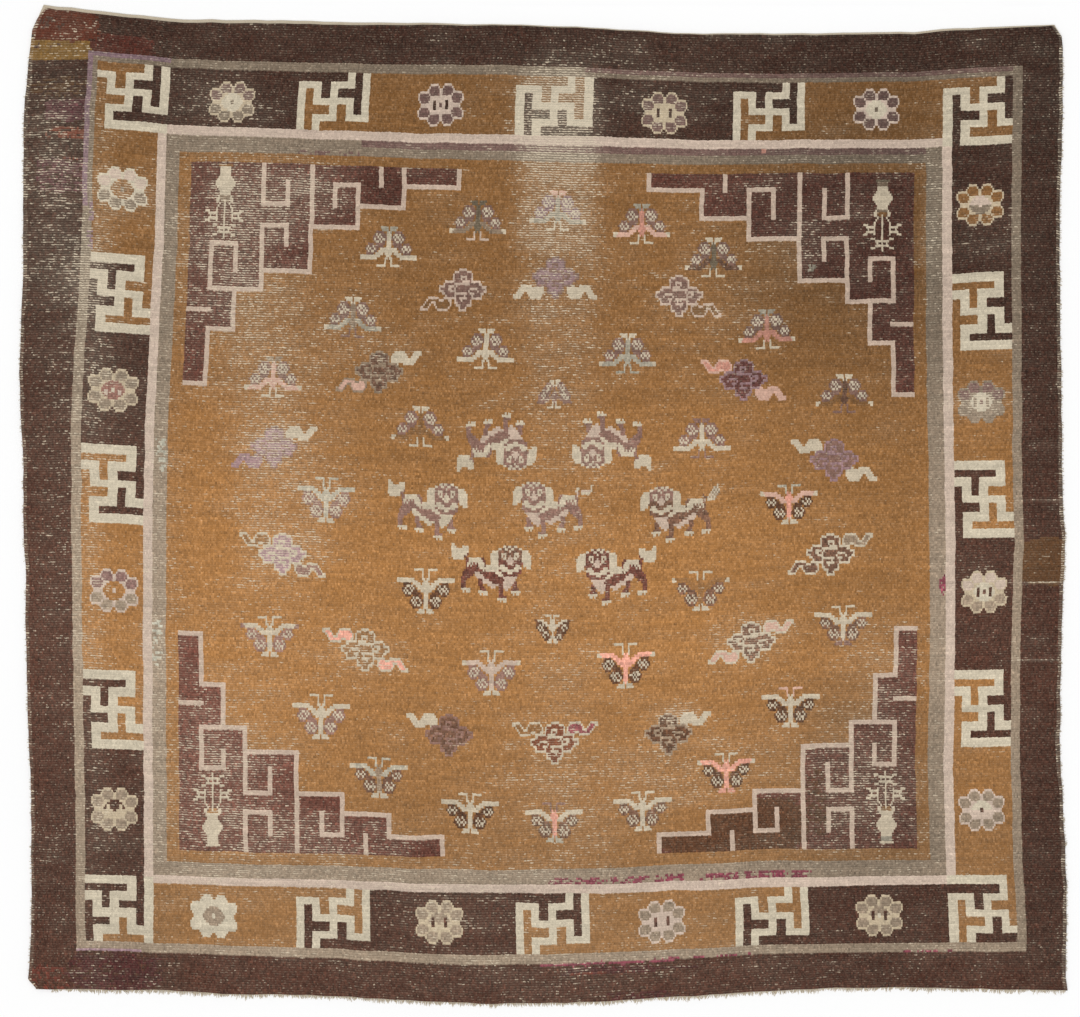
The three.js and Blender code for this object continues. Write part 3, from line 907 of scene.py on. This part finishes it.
# Tone of every knot: wools darker towards the upper end, bleached towards the lower and the left,
# uneven from dye lot to dye lot, and no two tufts alike. Motif wools have felted into the field.
# The first two give millimetres and the tone there; the lots are given like the worn places.
TONE_UP = [
    (-1349, 0.17), (-1153, 0.05), (-985, 0.02), (-761, 0.14), (-425, 0.28), (-89, 0.22), (247, 0.04),
    (415, -0.14), (583, -0.22), (933, -0.25), (1115, -0.42), (1339, -0.44),
]
TONE_ACROSS = [
    (-1436, 0.08), (-1212, 0.03), (-1072, -0.03), (-960, 0.10), (-764, 0.10), (-400, 0.00), (440, 0.05),
    (860, -0.14), (1000, -0.19), (1112, -0.08), (1224, -0.01), (1308, -0.08), (1420, -0.25),
]
DYE_LOTS = [
    ((846, 779), 330, 330, -0.36), ((916, -761), 200, 260, -0.28), ((-448, 900), 60, 60, -0.25),
    ((-288, -1153), 190, 80, 0.12), ((916, -1153), 190, 80, 0.12),
]
SOILED_UP = [(-1340, 0.24), (-800, 0.10), (-200, 0.03), (600, 0.0)]
SOIL = "#7d6a55"
UNEVEN_DYE, UNEVEN_LOT, UNEVEN_ROW, UNEVEN_TUFT, FELTED = 0.06, 0.6, 0.05, 0.14, 0.14
DYE_WAVES, LOT_WAVES, ROW_RUN = (110, 5), (205, 16), 14
PALE_WOOLS = ("ivory", "pink", "rose", "straw")
DARK_WOOLS = ("umber", "aubergine", "brown", "plum", "oxblood", "maroon", "magenta")
PALE_TONE, PALE_UNEVEN, DARK_UNEVEN = 0.15, 0.5, 1.8
TUFT_FADE, MOST_LIGHT, TREAD_FADE, MOST_FADE = 0.14, 0.5, 0.12, 0.3
WEFT = np.array(linear(COTTON)[:3])
card = np.array([linear(DYES[name])[:3] for name in NAMES])
knot_x = (across[:-1, :-1] + across[1:, 1:]) / 2 / MM
knot_y = (upward[:-1, :-1] + upward[1:, 1:]) / 2 / MM
tone = np.interp(knot_y, *zip(*TONE_UP)) + np.interp(knot_x, *zip(*TONE_ACROSS))
for (x, y), half_width, half_height, amount in DYE_LOTS:
    tone += amount * np.exp(-far_from(x, y, half_width, half_height, SQUARE_SIDED))
pale = tied_in(*PALE_WOOLS)
tone = np.where(pale, PALE_TONE * tone, tone)
lots = UNEVEN_DYE * drift(ROWS, COLUMNS, *DYE_WAVES)
lots += UNEVEN_LOT * UNEVEN_DYE * drift(ROWS, COLUMNS, *LOT_WAVES)
tone += lots
uneven = np.where(pale, PALE_UNEVEN, np.where(tied_in(*DARK_WOOLS), DARK_UNEVEN, 1.0))
tuft_tone = UNEVEN_TUFT * uneven * draw.standard_normal(chart.shape)
tone += UNEVEN_ROW * streaks(ROW_RUN) + tuft_tone
colour = card[chart]
field_colour = colour[top_at[FIELD]:bottom_at[FIELD], left_at[FIELD]:right_at[FIELD]]
field_colour *= 1 - FELTED
field_colour += FELTED * card[dye("camel")]
colour *= np.exp(tone)[:, :, None]
soil = np.where(chart == dye("camel"), np.interp(knot_y, *zip(*SOILED_UP)), 0)[:, :, None]
colour = colour * (1 - soil) + np.array(linear(SOIL)[:3]) * soil
fade = np.where(chart == dye("camel"), TUFT_FADE * np.clip(tuft_tone, 0, MOST_LIGHT), 0)
fade = np.clip(fade + TREAD_FADE * tread, 0, MOST_FADE)[:, :, None]
colour = colour * (1 - fade) + WEFT * fade

# Wool pile: matte and soft, each row a low ridge, with a painted shadow that darkens the colour
# between it and the next, and the cotton weft showing as a thin pale line between the rows where the
# tufts are gone. Fibres and lint are drawn at 2 to 4 mm, coarser than wool, so that they show.
SOILED_WEFT = "#d6c7ae"
FIBRE_MM = 2.4
LINT_MM = 3.4
wool, tree = new_material("hand_knotted_wool")
where = node(tree, "TexCoord")
tuft = node(tree, "Attribute", attribute_name="dye")
gone = node(tree, "Attribute", attribute_name="bare")
knots = node(tree, "UVMap", uv_map="knots")
parts = node(tree, "SeparateXYZ", {0: knots.outputs["UV"]})
in_row = node(tree, "Math", {0: parts.outputs["Y"]}, operation="FRACT")
on_weft = node(tree, "MapRange", {"Value": in_row.outputs[0], "From Min": 0.46, "From Max": 0.60})
lint = node(tree, "TexNoise", {
    "Vector": where.outputs["Object"], "Scale": 1 / (LINT_MM * MM), "Detail": 2.0, "Roughness": 0.6,
})
lint_shows = node(tree, "MapRange", {
    "Value": lint.outputs["Fac"], "From Min": 0.46, "From Max": 0.78, "To Max": 0.05,
})
shows = node(tree, "Math", {0: gone.outputs["Fac"], 1: on_weft.outputs[0], 2: lint_shows.outputs[0]},
             operation="MULTIPLY_ADD")
fibre = node(tree, "TexNoise", {
    "Vector": where.outputs["Object"], "Scale": 1 / (FIBRE_MM * MM), "Detail": 3.0, "Roughness": 0.7,
})
ridge = node(tree, "Math", {0: in_row.outputs[0], 1: 0.5}, operation="PINGPONG")
# Painted shadow: the colour darkens towards the lower edge of each row, in the groove below the next row,
# and is a little lighter over the rest of the row.
row_groove_shadow = node(tree, "MapRange", {
    "Value": in_row.outputs[0], "From Max": 0.4, "To Min": 0.87, "To Max": 1.04,
})
fibre_tone = node(tree, "MapRange", {
    "Value": fibre.outputs["Fac"], "From Min": 0.25, "From Max": 0.75, "To Min": 0.74, "To Max": 1.26,
})
# Painted row shadow times the random tone of the fibres.
groove_shadow_and_fibre = node(tree, "Math", {0: row_groove_shadow.outputs[0], 1: fibre_tone.outputs[0]}, operation="MULTIPLY")
cloth = node(tree, "Mix", {0: shows.outputs[0], 6: tuft.outputs["Color"], 7: linear(SOILED_WEFT)},
             data_type="RGBA")
shaded = node(tree, "VectorMath", {0: cloth.outputs[2], "Scale": groove_shadow_and_fibre.outputs[0]}, operation="SCALE")
rise = node(tree, "Math", {0: ridge.outputs[0], 1: fibre.outputs["Fac"]}, operation="ADD")
relief = node(tree, "Bump", {"Height": rise.outputs[0], "Strength": 0.4, "Distance": 1.5 * MM})
shine = node(tree, "BsdfPrincipled", {
    "Base Color": shaded.outputs[0], "Roughness": 0.95, "Specular IOR Level": 0.15,
    "Sheen Weight": 0.03, "Sheen Roughness": 0.5, "Normal": relief.outputs["Normal"],
})
node(tree, "OutputMaterial", {"Surface": shine.outputs["BSDF"]})

# The pile in three lengths as it came off the loom, each row of tufts a row of faces, with the
# outermost tufts turned down over the edge of the foundation and worn places lying lower.
EDGE_FOOT, EDGE_REACH, EDGE_DROP = 1.2 * MM, 3 * MM, 1.2 * MM
WORN_DEPTH, CUT_UNEVEN_MM = 2.5 * MM, 0.25
LENGTHS = 3
FACING_UP = [1, 1, 0, 0]


def knotted(name, points, facing, tufts, worn_away, knots_a_face, top):
    """A wool piece with a dye and a wear for each face, and its knots counted from the left and up."""
    tall, wide = points.shape[0] - 1, points.shape[1] - 1
    row = np.array(facing) + np.arange(tall)[:, None, None]
    column = np.array([0, 1, 1, 0]) + np.arange(wide)[None, :, None]
    row, column = np.broadcast_arrays(row, column)
    faces = (row * (wide + 1) + column).reshape(-1, 4)
    piece = put(name, points.reshape(-1, 3).tolist(), faces.tolist(), wool)
    rgba = np.dstack([tufts, np.ones((tall, wide))])
    piece.data.attributes.new("dye", "FLOAT_COLOR", "FACE").data.foreach_set("color", rgba.ravel())
    piece.data.attributes.new("bare", "FLOAT", "FACE").data.foreach_set("value", worn_away.ravel())
    for layer, u, v in (("knots", knots_a_face * column, knots_a_face * (top - row)),
                        ("OFBake", column / wide, 1 - row / tall)):
        uv = np.stack([u, v], 3).astype(np.float32)
        piece.data.uv_layers.new(name=layer).data.foreach_set("uv", uv.ravel())
    return piece


worn = np.pad(tread, 1, mode="edge")
worn = (worn[:-1, :-1] + worn[1:, :-1] + worn[:-1, 1:] + worn[1:, 1:]) / 4
height = PILE_HEIGHT - WORN_DEPTH * worn
height += CUT_UNEVEN_MM * MM * draw.standard_normal(height.shape)
height[[0, -1]] -= EDGE_DROP
height[:, [0, -1]] -= EDGE_DROP
grid = np.stack([across, upward, np.minimum(height, PILE_HEIGHT)], 2)
grid = np.pad(grid, ((1, 1), (1, 1), (0, 0)), mode="edge")
grid[:, 0, 0] -= EDGE_REACH
grid[:, -1, 0] += EDGE_REACH
grid[0, :, 1] += EDGE_REACH
grid[-1, :, 1] -= EDGE_REACH
for edge in (grid[0], grid[-1], grid[:, 0], grid[:, -1]):
    edge[:, 2] = EDGE_FOOT
grid[0, :, 2] = FOUNDATION_TOP
tuft_colour = np.pad(colour, ((1, 1), (1, 1), (0, 0)), mode="edge")
tuft_bare = np.pad(bare, 1, mode="edge")
for k, rows in enumerate(np.array_split(np.arange(ROWS + 2), LENGTHS)):
    pile = knotted(f"pile_{k + 1}", grid[rows[0]:rows[-1] + 2], FACING_UP, tuft_colour[rows],
                   tuft_bare[rows], 1, ROWS + 2 - rows[0])
    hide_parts("carpet")

# Back of the carpet: the loops of the same knots show through between the wefts, flat and a little
# paler than the pile, two knots of two rows to a face.
BACK_HEIGHT = 0.2 * MM
BACK_KNOTS = 2
BACK_PALER, BACK_BARE = 0.15, (0.2, 0.5)
FACING_DOWN = [0, 0, 1, 1]
back_points = grid[1:-1:BACK_KNOTS, 1:-1:BACK_KNOTS].copy()
back_points[:, :, 2] = BACK_HEIGHT
tall, wide = back_points.shape[0] - 1, back_points.shape[1] - 1
back_colour = colour[:BACK_KNOTS * tall:BACK_KNOTS, :BACK_KNOTS * wide:BACK_KNOTS]
back_colour = back_colour * (1 - BACK_PALER) + WEFT * BACK_PALER
back_bare = draw.uniform(*BACK_BARE, (tall, wide))
back = knotted("back", back_points, FACING_DOWN, back_colour, back_bare, BACK_KNOTS, tall)

# Fringe: the cut ends of the warps along the lower end, left loose when the carpet came off the loom.
# Ivory cotton yarn, frayed short and clotted together, lying on the floor.
YARNS = 1500
YARN_SIDES, YARN_RINGS = 5, 5
YARN_RADIUS, YARN_TAPER = 1.15 * MM, 0.55
YARN_REACH, REACH_UNEVEN, REACH_LIMITS = (6 * MM, 14 * MM), 2.5 * MM, (3 * MM, 21 * MM)
YARN_CURVE, YARN_LEAN, LEAN_UNEVEN = 1.6, 3.5 * MM, 1.6 * MM
YARN_STRAY, END_ROOM, ROOT_INSIDE = 0.6 * MM, 4 * MM, 1.5 * MM
YARN_REST, YARN_ROOT = 0.9 * MM, 2.2 * MM
CLOTS, CLOT_SPREAD, LEANING_TUFTS = 240, (-2, 2), 420


def yarns(roots, ways, reaches, leans, radius, rest_height, root_height):
    """Points and faces of many short tapering yarns that leave an edge and settle on the floor."""
    points, faces = [], []
    turn = np.linspace(0, 2 * math.pi, YARN_SIDES, endpoint=False)
    for root, way, reach, lean in zip(roots, ways, reaches, leans):
        base = len(points) * YARN_SIDES
        side = np.array([-way[1], way[0]])
        for k in range(YARN_RINGS):
            share = k / (YARN_RINGS - 1)
            middle = root + way * reach * share + side * lean * share ** YARN_CURVE
            size = radius * (1 - YARN_TAPER * share ** 2)
            z = max(root_height * (1 - share) ** 2 + rest_height * (1 - (1 - share) ** 2), size)
            ring = [(*(middle + side * size * math.cos(a)), z + size * math.sin(a)) for a in turn]
            points.append(ring)
        for k in range(YARN_RINGS - 1):
            for s in range(YARN_SIDES):
                a, b = base + k * YARN_SIDES + s, base + k * YARN_SIDES + (s + 1) % YARN_SIDES
                faces.append([a, b, b + YARN_SIDES, a + YARN_SIDES])
        faces.append([base + YARN_SIDES * (YARN_RINGS - 1) + s for s in range(YARN_SIDES)])
    return np.array(points).reshape(-1, 3).tolist(), faces


low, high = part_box("fringe")
place = np.linspace(low.x + END_ROOM, high.x - END_ROOM, YARNS) + draw.normal(0, YARN_STRAY, YARNS)
clot = np.interp(place, np.linspace(low.x, high.x, CLOTS), draw.normal(0, 1, CLOTS))
reaches = np.interp(clot, CLOT_SPREAD, YARN_REACH) + draw.normal(0, REACH_UNEVEN, YARNS)
reaches = np.clip(reaches, *REACH_LIMITS)
leaning = np.linspace(low.x, high.x, LEANING_TUFTS)
leans = YARN_LEAN * np.interp(place, leaning, draw.normal(0, 1, LEANING_TUFTS))
leans += draw.normal(0, LEAN_UNEVEN, YARNS)
roots = np.column_stack([place, rim["bottom"](place) + ROOT_INSIDE])
ways = np.tile([0.0, -1.0], (YARNS, 1))
points, faces = yarns(roots, ways, reaches, leans, YARN_RADIUS, YARN_REST, YARN_ROOT)
fringe = put("warp_fringe", points, faces, cotton)
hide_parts("fringe")

# Selvedge: both long sides, where the weft turns back round the outermost warps. Small loops and
# broken ends of ivory weft stand out of the dark wool there.
SELVEDGE_ENDS, SELVEDGE_RUN = 1100, (-1.30, 1.27)
END_REACH, END_LEAN, END_INSIDE = (2.5 * MM, 8 * MM), 1.5 * MM, 1 * MM
END_RADIUS, END_REST, END_ROOT = 0.8 * MM, 1.2 * MM, 2.6 * MM
# Two ends out of three are on the right, where the edge has frayed more.
sides = np.where(np.arange(SELVEDGE_ENDS) % 3 > 0, 1, -1)
place = draw.uniform(*SELVEDGE_RUN, SELVEDGE_ENDS)
edge = np.where(sides > 0, rim["right"](place), rim["left"](place))
roots = np.column_stack([edge - sides * END_INSIDE, place])
ways = np.column_stack([sides.astype(float), np.zeros(SELVEDGE_ENDS)])
reaches = draw.uniform(*END_REACH, SELVEDGE_ENDS)
leans = draw.normal(0, END_LEAN, SELVEDGE_ENDS)
points, faces = yarns(roots, ways, reaches, leans, END_RADIUS, END_REST, END_ROOT)
selvedge = put("selvedge_ends", points, faces, cotton)

# Floor: a plain pale studio floor that the carpet lies on. Matte white paint, rolled on, with the
# faintest mottle.
FLOOR_HALF = 9.0
FLOOR_PAINT, FLOOR_SHADE = "#ffffff", "#fdfdfd"
MOTTLE_MM = 1250
floor_paint, tree = new_material("pale_floor_paint")
where = node(tree, "TexCoord")
mottle = node(tree, "TexNoise", {"Vector": where.outputs["Object"], "Scale": 1 / (MOTTLE_MM * MM),
                                 "Detail": 2.0})
tint = node(tree, "Mix", {0: mottle.outputs["Fac"], 6: linear(FLOOR_SHADE), 7: linear(FLOOR_PAINT)},
            data_type="RGBA")
shine = node(tree, "BsdfPrincipled", {
    "Base Color": tint.outputs[2], "Roughness": 0.9, "Specular IOR Level": 0.1,
})
node(tree, "OutputMaterial", {"Surface": shine.outputs["BSDF"]})
floor_corners = [(x * FLOOR_HALF, y * FLOOR_HALF, 0) for x, y in ((-1, -1), (1, -1), (1, 1), (-1, 1))]
mesh = bpy.data.meshes.new("floor")
mesh.from_pydata(floor_corners, [], [(0, 1, 2, 3)])
mesh.materials.append(floor_paint)
floor = bpy.data.objects.new("floor", mesh)
bpy.context.scene.collection.objects.link(floor)

# Light: an even white studio, with one broad soft source from the upper left, slanting enough to
# show the rows of the pile.
STUDIO_STRENGTH, SOURCE_STRENGTH = 0.72, 1.1
SOURCE_SPREAD, SOURCE_TILT = math.radians(40), (math.radians(28), math.radians(-24), 0)
world = bpy.data.worlds.new("studio")
world.use_nodes = True
world.node_tree.nodes["Background"].inputs["Color"].default_value = (1, 1, 1, 1)
world.node_tree.nodes["Background"].inputs["Strength"].default_value = STUDIO_STRENGTH
bpy.context.scene.world = world
lamp = bpy.data.lights.new("soft_source", "SUN")
lamp.energy = SOURCE_STRENGTH
lamp.angle = SOURCE_SPREAD
source = bpy.data.objects.new("soft_source", lamp)
source.rotation_euler = SOURCE_TILT
bpy.context.scene.collection.objects.link(source)
bpy.context.scene.view_settings.view_transform = "Standard"

# Camera: straight above the carpet and square to it, as in the photograph, with a lens long enough
# that nothing tapers much. The frame's width and middle are in metres at the height of the pile.
FRAME_WIDTH = 3.024
FRAME_MIDDLE = (-0.0083, -0.0004)
lens = bpy.data.cameras.new("camera")
lens.lens = 85
lens.sensor_width = 36
lens.clip_end = 100
camera = bpy.data.objects.new("camera", lens)
camera.location = (*FRAME_MIDDLE, FRAME_WIDTH * lens.lens / lens.sensor_width + PILE_HEIGHT)
bpy.context.scene.collection.objects.link(camera)
bpy.context.scene.camera = camera

bpy.context.view_layer.update()
